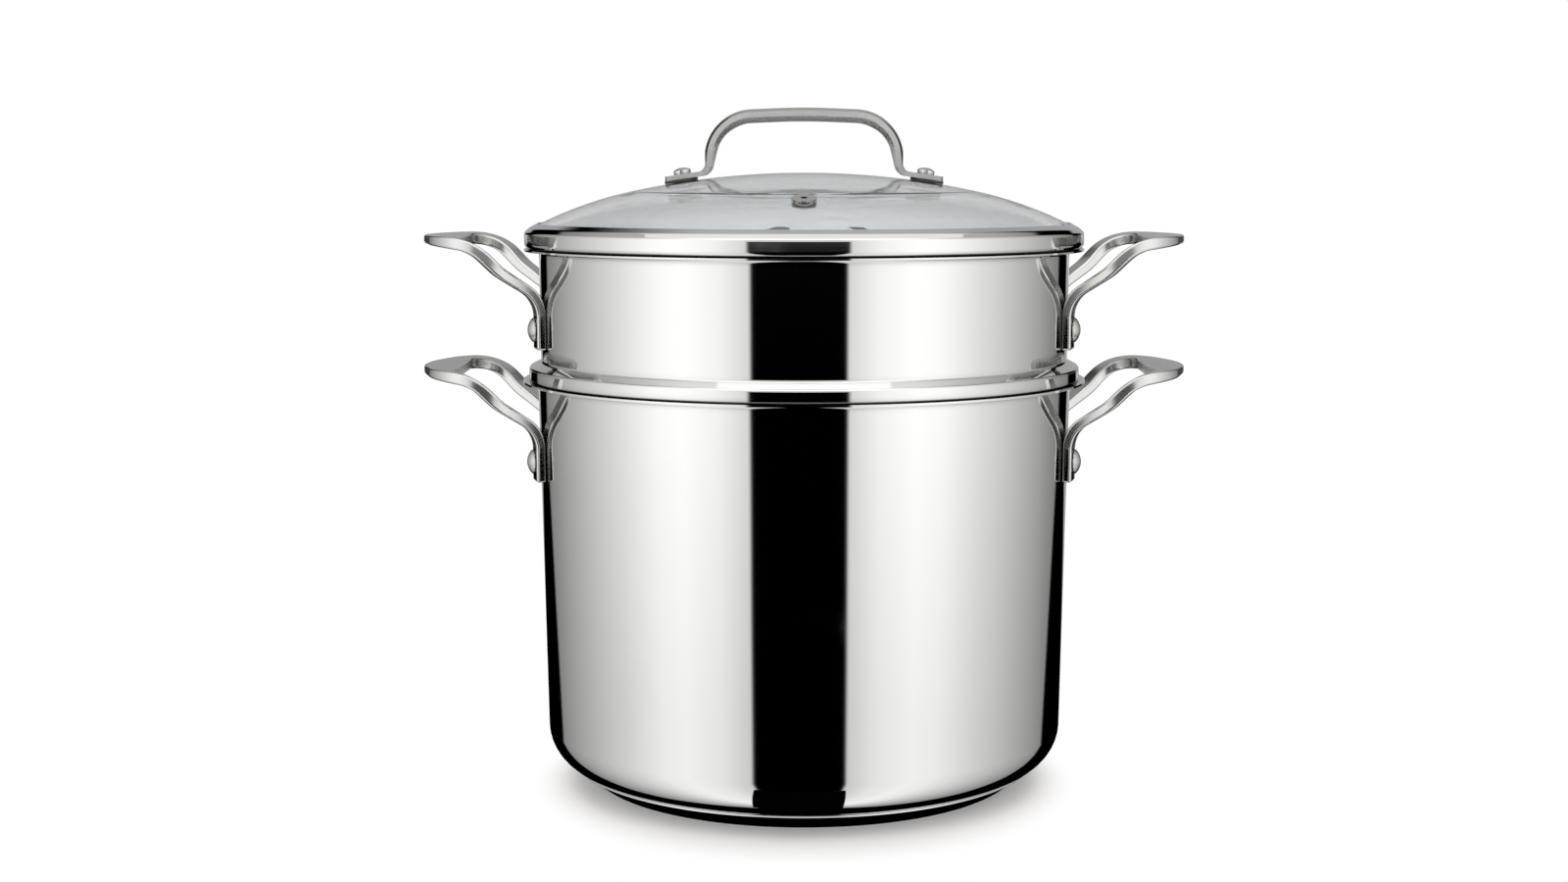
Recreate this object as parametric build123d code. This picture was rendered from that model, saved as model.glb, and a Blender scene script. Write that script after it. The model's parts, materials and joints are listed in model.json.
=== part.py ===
from build123d import *
import os
from math import asin, atan2, cos, degrees, radians, sin, sqrt, tan

# Steamer pot: a pot, a steamer insert that stands on its rim, and a glass lid.
# Millimetres, +Z up, origin at the centre of the base's underside,
# side handles on -X and +X, the lid's steam vent on -Y.

# Pot, a drawn steel shell
pot_sheet = 1.0  # thickness of the steel
pot_wall_radius = 131.0  # outside of the wall at the rim
pot_rim_height = 199.4  # top of the rim above the table
pot_draft = 3.7  # the wall draws in by this much down to the floor
pot_corner = 20.0  # outside radius between floor and wall
rim_reach = 7.2  # a rim stands out this far from its wall
rim_bend = 1.8  # radius under a rim

# Base, an aluminium disc closed in by a steel cup
base_height = 7.5  # underside of the pot's floor above the table
base_climb = 1.3  # the cup follows the pot's corner up by this much
base_foot_inset = 3.0  # the underside meets the slope of the cup this far inside the pot's flat floor
base_edge = 5.0  # rounding there
base_sheet = 0.8
base_lip = 0.4  # the cup's edge stands off the pot's corner by this much
core_fit = 0.05  # gap round the disc, and between cup and pot

# Steamer insert
insert_sheet = 0.8
insert_wall_inset = 1.1  # the upper wall at the rim is this much inside the pot's
insert_wall_height = 63.6  # its rim above the pot's rim
insert_draft = 0.6  # the upper wall draws in by this much down to the bead
bead_reach = 4.2  # the pressed bead that stands on the pot's rim, beyond the pot's wall
bead_height = 6.3
bead_shoulder = 2.9  # height of the slope from the bead up to the wall
bead_seat_round = 1.0
bead_round = 1.5
insert_hang = 49.4  # depth of the insert below the pot's rim
hang_gap = 3.4  # side gap to the pot's wall at the pot's rim, clear of the rivets' inner heads
hang_draft = 1.0
insert_corner = 3.0
ledge_width = 8.0  # the wall turns in by this much under the floor
bead_fit = 0.0  # the bead stands on the rim

# Perforated floor of the insert
floor_fit = 0.4  # gap between the floor's edge and the wall's corner
floor_sheet = 0.8
steam_hole_radius = 5.0
steam_hole_pitch = 27.0
steam_holes_per_ring = 6  # in the first ring, and as many more in each further one
floor_border = 20.0  # plain border inside the ledge

# Side handles, all four the same. Heights are below or above the rim they sit under,
# distances are measured out from the wall.
loop_reach = 56.3  # tip of the pad
loop_top = 6.9  # flat top of the pad above the rim
pad_thickness = 3.2
pad_bottom_rise = 4.0  # the pad's underside rises towards the tip
loop_half_width = 64.0  # half the loop across, at its sharp outer corners
loop_corner_back = 20.0  # those corners lie this far behind the tip's corner
loop_tip_radius = 75.0
loop_corner_radius = 28.0
root_depth = 16.0  # seen from above, the arms start this far inside the wall
root_outer_half = 37.0  # half the loop across at that depth
root_inner_half = 22.7  # half the gap between the arms at that depth
foot_half_span = 35.3  # the rivets' distance from the handle's middle
window_reach = 38.6  # outer edge of the finger opening
window_half_width = 50.5
window_radius = 13.0
arm_shoulder = (34.8, 6.9)  # where the pad's top would meet the arm's slope
arm_knee = (19.9, -8.0)  # where the slope eases
arm_ankle = (-0.6, -21.7)  # where it turns down along the wall
belly_shoulder = (35.5, -0.3)  # the same three corners on the underside
belly_knee = (23.7, -11.8)
belly_ankle = (4.0, -24.0)
foot_depth = 47.4  # the foot's end below the rim
shoulder_radius = 30.0
knee_radius = 30.0
ankle_radius = 17.0
belly_shoulder_radius = 18.0
belly_ankle_radius = 14.0
foot_end_radius = 1.2
loop_edge_round = 1.2  # all round the strap
foot_gap = 0.05  # between foot and wall

# Rivets of the side handles
rivet_drop = 38.0  # below the rim
rivet_shank = 3.0
rivet_head_radius = 5.8
rivet_head_height = 3.0
rivet_collar = 0.6  # straight part of the head's side
rivet_tail_radius = 5.5
rivet_tail_height = 1.4
rivet_fit = 0.1  # round the shank
rivet_seat = 0.25  # under both heads, which are flat on a curved wall

# Lid glass, a flat crown that bends down more tightly towards the edge
glass_thickness = 4.0
glass_inset = 2.2  # between the glass's edge and the band
glass_edge_rise = 9.7  # top of the glass's edge above the insert's rim
crown_radius = 400.0
crown_reach = 85.0  # the crown gives way to the shoulder here
dome_shoulder_radius = 190.0

# Steel band of the lid
band_sheet = 0.7
band_inset = 0.2  # the band is this much inside the insert's rim
band_lip = 6.3  # it covers this much of the glass
band_top_round = 3.0
band_bottom_round = 1.6
glass_fit = 0.1
skirt_gap = 0.7  # to the insert's wall
skirt_depth = 6.0

# Lid handle
strap_width = 18.0
strap_edge = 2.6  # height of its flat sides, and of the feet
strap_crown = 1.6
strap_belly = 2.6  # under the grip, and cut away down the legs
grip_height = 31.9  # top of the grip above the glass
leg_half_span = 46.8  # middle of the legs at the feet
leg_lean = 2.8
grip_sag = 1.8  # the grip is this much lower at its shoulders
grip_corner = 21.0
belly_clear = 0.5  # the tapered cut off the belly runs this far outside it at the grip
crown_end = 13.0  # the crown is whole again this far above the feet
crown_clear = 0.3  # where the tapered cut off the crown ends outside it
grip_arch = 300.0
foot_bend = 5.0
strap_foot_tail = 8.9  # the feet end this far beyond their rivets
foot_round_share = 0.42  # rounding of their ends, as a share of the strap's width
foot_trim = 0.1  # the feet are ground flat by this much, above and below
lid_rivet_from_leg = 12.3  # from the middle of the leg
pad_height = 1.3
pad_overhang = 0.9  # the pads stand out this far beside the feet
pad_end_overhang = 0.2
pad_front = 7.0  # the pads start this far inside the rivets
pad_round_share = 0.42  # rounding of their corners, as a share of their length

# Fasteners of the lid
lid_rivet_shank = 2.5
lid_rivet_head = 4.2
lid_rivet_head_height = 3.2
lid_rivet_collar = 2.0  # straight part of the head's side
lid_rivet_tail = 4.2
lid_rivet_tail_height = 1.2
glass_hole_radius = 3.5
inner_pad_radius = 8.5
inner_pad_height = 1.2
washer_radius = 7.0
washer_height = 1.0
flat_on_dome = 0.12  # a flat piece under the dome keeps this gap at its middle

# Steam vent
vent_inset = 38.0  # middle of the vent from the glass's edge
vent_azimuth = -90  # on the front of the lid, between its rivets
vent_hole_radius = 4.0
vent_tube_radius = 3.7
vent_bore = 1.5
vent_flange = 5.8
vent_flange_height = 0.9

overrun = 5.0  # cutters run past what they cut
smooth_share = 0.9  # two faces meet smoothly where their normals agree by this share

# Worked-out sizes
insert_wall_radius = pot_wall_radius - insert_wall_inset
bead_radius = pot_wall_radius + bead_reach
band_radius = insert_wall_radius + rim_reach - band_inset
glass_radius = band_radius - band_sheet - glass_inset
vent_reach = glass_radius - vent_inset
lid_rivet_reach = leg_half_span + lid_rivet_from_leg
strap_foot_reach = lid_rivet_reach + strap_foot_tail
insert_rim_height = pot_rim_height + insert_wall_height
seat_height = pot_rim_height + bead_fit
rivet_azimuth = degrees(asin(foot_half_span / (pot_wall_radius + belly_ankle[0])))

# Where a solid stands on the plane it is made on, or hangs under it
standing = (Align.CENTER, Align.CENTER, Align.MIN)
hanging = (Align.CENTER, Align.CENTER, Align.MAX)


def half_section(points, radii):
    """A closed half-section in the X-Z plane, with a rounding for each corner."""
    return Plane.XZ * make_face(FilletPolyline(*points, radius=radii, close=True))


def turned(points, radii):
    """The solid that a half-section sweeps round the Z axis."""
    return revolve(half_section(points, radii), Axis.Z)


def sheet_ring(points, radii, sheet):
    """A turned shell of even thickness, laid on the left of an open outline."""
    outline = FilletPolyline(*points, radius=radii)
    strip = offset(outline, amount=sheet, side=Side.LEFT)
    return revolve(Plane.XZ * make_face(strip), Axis.Z)


def spoke(azimuth, height=0):
    """A plane at a height on the pot's axis, with its normal pointing out."""
    out = (cos(radians(azimuth)), sin(radians(azimuth)), 0)
    return Plane(origin=(0, 0, height), z_dir=out)


def pot_radius(height):
    """Outside radius of the pot's wall at a height."""
    return pot_wall_radius - pot_draft * (pot_rim_height - height) / pot_rim_height


def insert_radius(height):
    """Outside radius of the insert's upper wall at a height."""
    return insert_wall_radius - insert_draft * (insert_rim_height - height) / insert_wall_height


def build_pot_body():
    """The drawn pot with its turned-out rim and rivet holes."""
    rim_radius = pot_wall_radius + rim_reach
    under_rim = pot_rim_height - pot_sheet
    outline = [
        (0, base_height),
        (pot_radius(base_height), base_height),
        (pot_wall_radius, under_rim),
        (rim_radius, under_rim),
    ]
    shell = sheet_ring(outline, [pot_corner, rim_bend], pot_sheet)
    return shell - handle_holes(pot_rim_height)


def pot_envelope(gap):
    """The space that the pot's outside fills, grown by a gap."""
    floor = base_height - gap
    wall = pot_wall_radius + gap
    low_wall = pot_radius(base_height) + gap
    outline = [(0, floor), (low_wall, floor), (wall, pot_rim_height), (0, pot_rim_height)]
    return turned(outline, [0, pot_corner + gap, 0, 0])


def base_disc(inset):
    """The base, drawn in by an inset at its underside and slope, and cut to the pot's corner."""
    top = base_height + base_climb
    corner_centre = pot_radius(base_height) - pot_corner
    foot_radius = corner_centre - base_foot_inset
    edge = corner_centre + sqrt(pot_corner**2 - (pot_corner - base_climb) ** 2) + base_lip
    slope = atan2(top, edge - foot_radius)
    drawn_in = inset / sin(slope)
    low = foot_radius + inset / tan(slope) - drawn_in
    outline = [(0, inset), (low, inset), (edge - drawn_in, top), (0, top)]
    return turned(outline, [0, base_edge - inset, 0, 0]) - pot_envelope(core_fit)


def build_base_core():
    """The aluminium disc inside the base."""
    return base_disc(base_sheet + core_fit)


def build_base_cap():
    """The steel cup that closes the base in."""
    return base_disc(0) - base_disc(base_sheet)


def build_insert_shell():
    """The insert's wall, with the bead it stands on and the ledge under its floor."""
    rim_radius = insert_wall_radius + rim_reach
    under_rim = insert_rim_height - insert_sheet
    hang_radius = pot_wall_radius - pot_sheet - hang_gap
    floor_height = seat_height - insert_hang
    bead_top = seat_height + bead_height
    shoulder = bead_top + bead_shoulder
    outline = [
        (hang_radius - hang_draft - ledge_width, floor_height),
        (hang_radius - hang_draft, floor_height),
        (hang_radius, seat_height),
        (bead_radius, seat_height),
        (bead_radius, bead_top),
        (insert_radius(shoulder), shoulder),
        (insert_wall_radius, under_rim),
        (rim_radius, under_rim),
    ]
    radii = [insert_corner, bead_seat_round, bead_seat_round, bead_round, bead_round, rim_bend]
    shell = sheet_ring(outline, radii, insert_sheet)
    return shell - handle_holes(insert_rim_height)


def build_insert_floor():
    """The plate with rings of steam holes that lies on the ledge."""
    hang_radius = pot_wall_radius - pot_sheet - hang_gap - hang_draft
    floor_radius = hang_radius - insert_corner - floor_fit
    bottom = seat_height - insert_hang + insert_sheet
    plate = Pos(0, 0, bottom) * Cylinder(floor_radius, floor_sheet, align=standing)
    punch = Cylinder(steam_hole_radius, overrun)
    holes = [Pos(0, 0, bottom) * punch]
    ring = 1
    while ring * steam_hole_pitch + steam_hole_radius < hang_radius - ledge_width - floor_border:
        for place in PolarLocations(ring * steam_hole_pitch, ring * steam_holes_per_ring):
            holes.append(Pos(0, 0, bottom) * place * punch)
        ring += 1
    return plate - holes


def handle_holes(rim_height):
    """Cutters for the four rivet holes under a rim."""
    length = pot_wall_radius + belly_ankle[0] + overrun
    cutter = Cylinder(rivet_shank + rivet_fit, length, align=standing)
    angles = [side + foot for side in (0, 180) for foot in (-rivet_azimuth, rivet_azimuth)]
    return [spoke(angle, rim_height - rivet_drop).location * cutter for angle in angles]


def handle_side_view(wall_radius, rim_height):
    """The strap of a side handle seen from the side, from foot to pad tip."""

    def place(point):
        return (wall_radius + point[0], rim_height + point[1])

    far = loop_reach + overrun
    foot_end = -foot_depth
    corners = [
        (far, loop_top),
        arm_shoulder,
        arm_knee,
        arm_ankle,
        (arm_ankle[0], foot_end),
        (belly_ankle[0], foot_end),
        belly_ankle,
        belly_knee,
        belly_shoulder,
        (far, loop_top - pad_thickness + pad_bottom_rise * overrun / loop_reach),
    ]
    radii = [
        0,
        shoulder_radius,
        knee_radius,
        ankle_radius,
        0,
        foot_end_radius,
        belly_ankle_radius,
        knee_radius,
        belly_shoulder_radius,
        0,
    ]
    return half_section([place(corner) for corner in corners], radii)


def handle_top_view(wall_radius):
    """The outline of a side handle seen from above, with its finger opening."""
    tip_angle = atan2(loop_corner_back, loop_half_width)
    tip = wall_radius + loop_reach + loop_tip_radius * (1 / cos(tip_angle) - 1)
    root = wall_radius - root_depth
    corner = tip - loop_corner_back
    edge = wall_radius + window_reach
    outer = [
        (root, -root_outer_half),
        (corner, -loop_half_width),
        (tip, 0),
        (corner, loop_half_width),
        (root, root_outer_half),
    ]
    outer_radii = [0, loop_corner_radius, loop_tip_radius, loop_corner_radius, 0]
    opening = [
        (root, -root_inner_half),
        (edge, -window_half_width),
        (edge, window_half_width),
        (root, root_inner_half),
    ]
    opening_radii = [0, window_radius, window_radius, 0]
    window = make_face(FilletPolyline(*opening, radius=opening_radii, close=True))
    return make_face(FilletPolyline(*outer, radius=outer_radii, close=True)) - window


def corner_edges(solid):
    """The edges of a solid along which its two faces turn sharply."""
    corners = []
    for edge in solid.edges():
        first, second = [face for face in solid.faces() if edge in face.edges()]
        middle = edge @ 0.5
        if first.normal_at(middle).dot(second.normal_at(middle)) < smooth_share:
            corners.append(edge)
    return corners


def build_side_handle(wall_radius, rim_height, wall_at):
    """The handle on the +X side of a wall whose radius at a height is wall_at(height)."""
    strap = revolve(handle_side_view(wall_radius, rim_height), Axis.Z)
    low = rim_height - foot_depth - overrun
    high = rim_height + loop_top + overrun
    prism = Pos(0, 0, low) * extrude(handle_top_view(wall_radius), amount=high - low)
    blank = strap & prism
    blank = fillet(corner_edges(blank), loop_edge_round)
    wall = turned(
        [(0, low), (wall_at(low) + foot_gap, low), (wall_at(high) + foot_gap, high), (0, high)],
        [0, 0, 0, 0],
    )
    return blank - wall - handle_holes(rim_height)


def handle_pair(name, wall_radius, rim_height, wall_at):
    """The two handles of a wall, as named nodes."""
    handle = build_side_handle(wall_radius, rim_height, wall_at)
    return {name + "_right": handle, name + "_left": Rot(0, 0, 180) * handle}


def headed_rivet(shank, tail, tail_height, low, high, head, head_height, collar):
    """A rivet along +Z: tail below low, shank, collar and domed head above high."""
    dome_rise = head_height - collar
    sphere = (head**2 + dome_rise**2) / (2 * dome_rise)
    centre = high + head_height - sphere
    half = asin(head / sphere) / 2
    flank = Polyline(
        (0, high + head_height),
        (0, low - tail_height),
        (tail, low - tail_height),
        (tail, low),
        (shank, low),
        (shank, high),
        (head, high),
        (head, high + collar),
    )
    dome = ThreePointArc(
        (head, high + collar),
        (sphere * sin(half), centre + sphere * cos(half)),
        (0, high + head_height),
    )
    return revolve(Plane.XZ * make_face([flank, dome]), Axis.Z)


def rivet_pair(side, wall_radius, rim_height, inner_radius):
    """The two rivets of one side handle."""
    low = inner_radius - rivet_seat
    high = wall_radius + belly_ankle[0] + rivet_seat
    rivet = headed_rivet(
        rivet_shank,
        rivet_tail_radius,
        rivet_tail_height,
        low,
        high,
        rivet_head_radius,
        rivet_head_height,
        rivet_collar,
    )
    angles = [side - rivet_azimuth, side + rivet_azimuth]
    height = rim_height - rivet_drop
    return Compound([spoke(angle, height).location * rivet for angle in angles])


def rivet_nodes(name, wall_radius, rim_height, wall_at, sheet):
    """The rivets of both handles of a wall, as named nodes."""
    inner = wall_at(rim_height - rivet_drop) - sheet
    return {
        name + "_right": rivet_pair(0, wall_radius, rim_height, inner),
        name + "_left": rivet_pair(180, wall_radius, rim_height, inner),
    }


# The dome: slope and centre of its crown and shoulder
crown_slope = asin(crown_reach / crown_radius)
shoulder_out = (crown_radius - dome_shoulder_radius) * sin(crown_slope)
edge_slope = asin((glass_radius - shoulder_out) / dome_shoulder_radius)
shoulder_up = insert_rim_height + glass_edge_rise - dome_shoulder_radius * cos(edge_slope)
crown_centre = shoulder_up - (crown_radius - dome_shoulder_radius) * cos(crown_slope)
glass_apex = crown_centre + crown_radius


def dome_slope(reach):
    """Slope of the glass at a distance from the axis, in radians."""
    if reach < crown_reach:
        return asin(reach / crown_radius)
    return asin((reach - shoulder_out) / dome_shoulder_radius)


def dome_height(reach):
    """Height of the glass's outer face at a distance from the axis."""
    slope = dome_slope(reach)
    if reach < crown_reach:
        return crown_centre + crown_radius * cos(slope)
    return shoulder_up + dome_shoulder_radius * cos(slope)


def under_height(reach):
    """Height of the glass's inner face at a distance from the axis, in the shoulder."""
    inner = dome_shoulder_radius - glass_thickness
    return shoulder_up + sqrt(inner**2 - (reach - shoulder_out) ** 2)


def dome_plane(reach, azimuth):
    """The plane that touches the glass's outer face at a place."""
    slope = dome_slope(reach)
    turn = radians(azimuth)
    spot = (reach * cos(turn), reach * sin(turn), dome_height(reach))
    out = (sin(slope) * cos(turn), sin(slope) * sin(turn), cos(slope))
    down_slope = (cos(slope) * cos(turn), cos(slope) * sin(turn), -sin(slope))
    return Plane(origin=spot, x_dir=down_slope, z_dir=out)


def dome_arcs(depth):
    """The two arcs of the dome, this deep under its outer face, from the axis outwards."""
    crown = crown_radius - depth
    shoulder = dome_shoulder_radius - depth
    turn = degrees(crown_slope)
    edge = degrees(asin((glass_radius - shoulder_out) / shoulder))
    return [
        CenterArc((0, crown_centre), crown, 90, -turn),
        CenterArc((shoulder_out, shoulder_up), shoulder, 90 - turn, turn - edge),
    ]


def build_lid_glass():
    """The glass dome with holes for its rivets and its vent."""
    outer = dome_arcs(0)
    inner = dome_arcs(glass_thickness)
    ends = [Line(outer[0] @ 0, inner[0] @ 0), Line(outer[1] @ 1, inner[1] @ 1)]
    dome = revolve(Plane.XZ * make_face(outer + inner + ends), Axis.Z)
    rivet_hole = Cylinder(glass_hole_radius, 2 * glass_thickness + overrun)
    vent_hole = Cylinder(vent_hole_radius, 2 * glass_thickness + overrun)
    holes = [dome_plane(lid_rivet_reach, side).location * rivet_hole for side in (0, 180)]
    return dome - holes - dome_plane(vent_reach, vent_azimuth).location * vent_hole


def build_lid_band():
    """The steel band round the glass, with a skirt that drops into the insert."""
    rim = insert_rim_height
    lip_reach = band_radius - band_lip
    slope = tan(dome_slope(glass_radius))
    lid_on = glass_fit / cos(dome_slope(glass_radius))
    lip = band_sheet / cos(dome_slope(glass_radius))
    edge_top = dome_height(glass_radius)
    skirt = insert_wall_radius - insert_sheet - skirt_gap
    inside = band_radius - band_sheet
    outline = [
        (lip_reach, dome_height(lip_reach) + lid_on),
        (lip_reach, dome_height(lip_reach) + lid_on + lip),
        (band_radius, edge_top + lid_on + lip - (band_radius - glass_radius) * slope),
        (band_radius, rim),
        (skirt, rim),
        (skirt, rim - skirt_depth),
        (skirt - band_sheet, rim - skirt_depth),
        (skirt - band_sheet, under_height(skirt - band_sheet) - lid_on),
        (skirt, under_height(skirt) - lid_on),
        (skirt, rim + band_sheet),
        (inside, rim + band_sheet),
        (inside, edge_top + lid_on - (inside - glass_radius) * slope),
    ]
    inner_top = band_top_round - band_sheet
    inner_bottom = band_bottom_round - band_sheet
    radii = [0, 0, band_top_round, band_bottom_round, 0, 0, 0, 0, 0, 0, inner_bottom, inner_top]
    return turned(outline, radii)


def strap_section():
    """The grip's section: flat sides, a crowned outside and a rounder belly."""
    half = strap_width / 2
    edge = strap_edge / 2
    sides = [Line((-half, -edge), (-half, edge)), Line((half, edge), (half, -edge))]
    crown = ThreePointArc((-half, edge), (0, edge + strap_crown), (half, edge))
    belly = ThreePointArc((half, -edge), (0, -edge - strap_belly), (-half, -edge))
    return make_face([sides[0], crown, sides[1], belly])


def build_lid_handle():
    """The strap handle, with a belly under the grip and flat feet on the dome."""
    foot = dome_plane(lid_rivet_reach, 0)
    slope = dome_slope(lid_rivet_reach)

    def foot_line(reach, lift):
        """Height of a line at a lift over the foot's plane."""
        base = dome_height(lid_rivet_reach) + lift / cos(slope)
        return base - (reach - lid_rivet_reach) * tan(slope)

    lift = pad_height + strap_edge / 2 - foot_trim
    top = glass_apex + grip_height - strap_edge / 2 - strap_crown
    far = strap_foot_reach + overrun
    side = [
        (far, foot_line(far, lift)),
        (leg_half_span, foot_line(leg_half_span, lift)),
        (leg_half_span - leg_lean, top - grip_sag),
    ]
    route = side + [(0, top)] + [(-x, z) for x, z in reversed(side)]
    bends = [foot_bend, grip_corner, grip_arch, grip_corner, foot_bend]
    path = Plane.XZ * FilletPolyline(*route, radius=bends)
    start = Plane(origin=path @ 0, x_dir=(0, -1, 0), z_dir=path % 0)
    strap = sweep(start * strap_section(), path)
    outline = RectangleRounded(2 * strap_foot_reach, strap_width + overrun, foot_round_share * strap_width)
    strap = strap & extrude(outline, amount=glass_apex + grip_height + overrun)
    cutters = [belly_cutter(foot_line, far, top), crown_cutter(foot_line, far)]
    drill = Cylinder(lid_rivet_shank + rivet_fit, 2 * overrun + strap_edge)
    drills = [dome_plane(lid_rivet_reach, turn).location * drill for turn in (0, 180)]
    return strap - cutters - [mirror(cutter, Plane.YZ) for cutter in cutters] - drills


def belly_cutter(foot_line, far, top):
    """What comes off under one half of the strap: flat under the foot, less and less up the leg."""
    inside = leg_half_span - strap_edge / 2 + foot_trim
    depth = strap_edge / 2 + strap_belly + belly_clear
    low = foot_line(far, -overrun)
    corners = [
        (far, foot_line(far, pad_height)),
        (inside, foot_line(inside, pad_height)),
        (leg_half_span - leg_lean - depth, top - grip_sag - depth),
        (0, top - depth),
        (0, low),
        (far, low),
    ]
    radii = [0, foot_bend + strap_edge / 2 - foot_trim, grip_corner - depth, 0, 0, 0]
    return extrude(half_section(corners, radii), amount=strap_width, both=True)


def crown_cutter(foot_line, far):
    """What comes off over one foot of the strap: flat over the foot, less and less up the leg."""
    outside = leg_half_span + strap_edge / 2 - foot_trim
    foot_top = pad_height + strap_edge - 2 * foot_trim
    low = foot_line(outside, foot_top)
    lean = leg_lean * crown_end / grip_height
    corners = [
        (far, foot_line(far, foot_top)),
        (outside, low),
        (outside + strap_crown + crown_clear - lean, low + crown_end),
        (far, low + crown_end),
    ]
    radii = [0, foot_bend - strap_edge / 2 + foot_trim, 0, 0]
    return extrude(half_section(corners, radii), amount=strap_width, both=True)


def on_both_feet(piece):
    """A piece made on the foot's plane, on both feet of the lid handle."""
    return Compound([dome_plane(lid_rivet_reach, side).location * piece for side in (0, 180)])


def washer(radius, height, hole):
    """A flat ring that hangs under the plane it is made on."""
    return Cylinder(radius, height, align=hanging) - Cylinder(hole, height + overrun)


def build_handle_pads():
    """The soft pads between the handle's feet and the glass."""
    length = pad_front + strap_foot_tail + pad_end_overhang
    width = strap_width + 2 * pad_overhang
    outline = Pos(length / 2 - pad_front, 0) * RectangleRounded(length, width, pad_round_share * length)
    pad = extrude(outline, amount=pad_height)
    return on_both_feet(pad - Cylinder(lid_rivet_shank + rivet_fit, pad_height + overrun))


def build_inner_pads():
    """The soft rings under the glass."""
    drop = -glass_thickness - flat_on_dome
    pad = washer(inner_pad_radius, inner_pad_height, lid_rivet_shank + rivet_fit)
    return on_both_feet(Pos(0, 0, drop) * pad)


def build_lid_washers():
    """The steel washers that the rivets close on."""
    drop = -glass_thickness - flat_on_dome - inner_pad_height
    disc = washer(washer_radius, washer_height, lid_rivet_shank + rivet_fit)
    return on_both_feet(Pos(0, 0, drop) * disc)


def build_lid_rivets():
    """The two rivets through feet, pads, glass and washers."""
    low = -glass_thickness - flat_on_dome - inner_pad_height - washer_height
    high = pad_height + strap_edge - 2 * foot_trim
    rivet = headed_rivet(
        lid_rivet_shank,
        lid_rivet_tail,
        lid_rivet_tail_height,
        low,
        high,
        lid_rivet_head,
        lid_rivet_head_height,
        lid_rivet_collar,
    )
    return on_both_feet(rivet)


def build_vent_eyelet():
    """The flanged eyelet that lets steam out through the glass."""
    under = -glass_thickness - flat_on_dome
    outline = [
        (vent_bore, under - vent_flange_height),
        (vent_flange, under - vent_flange_height),
        (vent_flange, under),
        (vent_tube_radius, under),
        (vent_tube_radius, 0),
        (vent_flange, 0),
        (vent_flange, vent_flange_height),
        (vent_bore, vent_flange_height),
    ]
    return dome_plane(vent_reach, vent_azimuth).location * turned(outline, [0] * len(outline))


def build_nodes():
    """Every node of the part by its name."""
    nodes = {
        "pot_body": build_pot_body(),
        "base_core": build_base_core(),
        "base_cap": build_base_cap(),
        "insert_shell": build_insert_shell(),
        "insert_floor": build_insert_floor(),
        "lid_glass": build_lid_glass(),
        "lid_band": build_lid_band(),
        "lid_handle": build_lid_handle(),
        "lid_rivets": build_lid_rivets(),
        "handle_pads": build_handle_pads(),
        "inner_pads": build_inner_pads(),
        "lid_washers": build_lid_washers(),
        "vent_eyelet": build_vent_eyelet(),
    }
    nodes |= handle_pair("pot_handle", pot_wall_radius, pot_rim_height, pot_radius)
    nodes |= handle_pair("insert_handle", insert_wall_radius, insert_rim_height, insert_radius)
    nodes |= rivet_nodes("pot_rivets", pot_wall_radius, pot_rim_height, pot_radius, pot_sheet)
    nodes |= rivet_nodes(
        "insert_rivets", insert_wall_radius, insert_rim_height, insert_radius, insert_sheet
    )
    return nodes


os.makedirs("parts", exist_ok=True)
for name, shape in build_nodes().items():
    export_step(shape, f"parts/{name}.step")
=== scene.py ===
"""Studio scene of a steamer pot: a tall stock pot, a steaming insert and a glass lid.

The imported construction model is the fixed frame. This script dresses its pieces
in worked-out finishes, stands them in a pale studio and points the camera.
"""

from __future__ import annotations

import json
import logging
import math
from dataclasses import dataclass, field
from enum import Enum

import bpy
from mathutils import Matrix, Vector

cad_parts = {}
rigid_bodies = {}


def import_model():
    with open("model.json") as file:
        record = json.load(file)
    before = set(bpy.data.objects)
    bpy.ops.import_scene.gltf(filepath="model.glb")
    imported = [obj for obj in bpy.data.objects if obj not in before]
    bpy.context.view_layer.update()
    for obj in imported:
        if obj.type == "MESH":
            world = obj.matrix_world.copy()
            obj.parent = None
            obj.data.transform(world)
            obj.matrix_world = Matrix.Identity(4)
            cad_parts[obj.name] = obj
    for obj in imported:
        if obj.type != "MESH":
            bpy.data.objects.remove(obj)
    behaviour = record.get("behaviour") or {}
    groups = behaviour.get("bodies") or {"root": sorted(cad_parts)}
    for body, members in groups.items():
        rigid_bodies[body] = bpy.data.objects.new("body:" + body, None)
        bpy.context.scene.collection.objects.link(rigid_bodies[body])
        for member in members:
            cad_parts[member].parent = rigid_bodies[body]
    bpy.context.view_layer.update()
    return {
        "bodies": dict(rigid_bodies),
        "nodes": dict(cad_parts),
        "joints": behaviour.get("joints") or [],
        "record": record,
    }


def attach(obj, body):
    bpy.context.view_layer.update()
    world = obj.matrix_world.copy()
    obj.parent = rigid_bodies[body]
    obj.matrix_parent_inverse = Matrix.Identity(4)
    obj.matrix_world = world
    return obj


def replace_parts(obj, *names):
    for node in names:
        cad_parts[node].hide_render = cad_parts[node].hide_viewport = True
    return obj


LOG = logging.getLogger("steamer_pot")
MM = 0.001
TINY = 1e-6
HALF_TURN = 180.0
WHITE = (1.0, 1.0, 1.0, 1.0)
Colour = tuple[float, float, float]
Place = tuple[float, float, float]
Point = tuple[float, float]
Material = bpy.types.Material
Node = bpy.types.Node
Socket = bpy.types.NodeSocket
Thing = bpy.types.Object
Tree = bpy.types.ShaderNodeTree


class Body(Enum):
    """The three bodies that lift apart."""

    POT = "pot"
    INSERT = "insert"
    LID = "lid"


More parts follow.
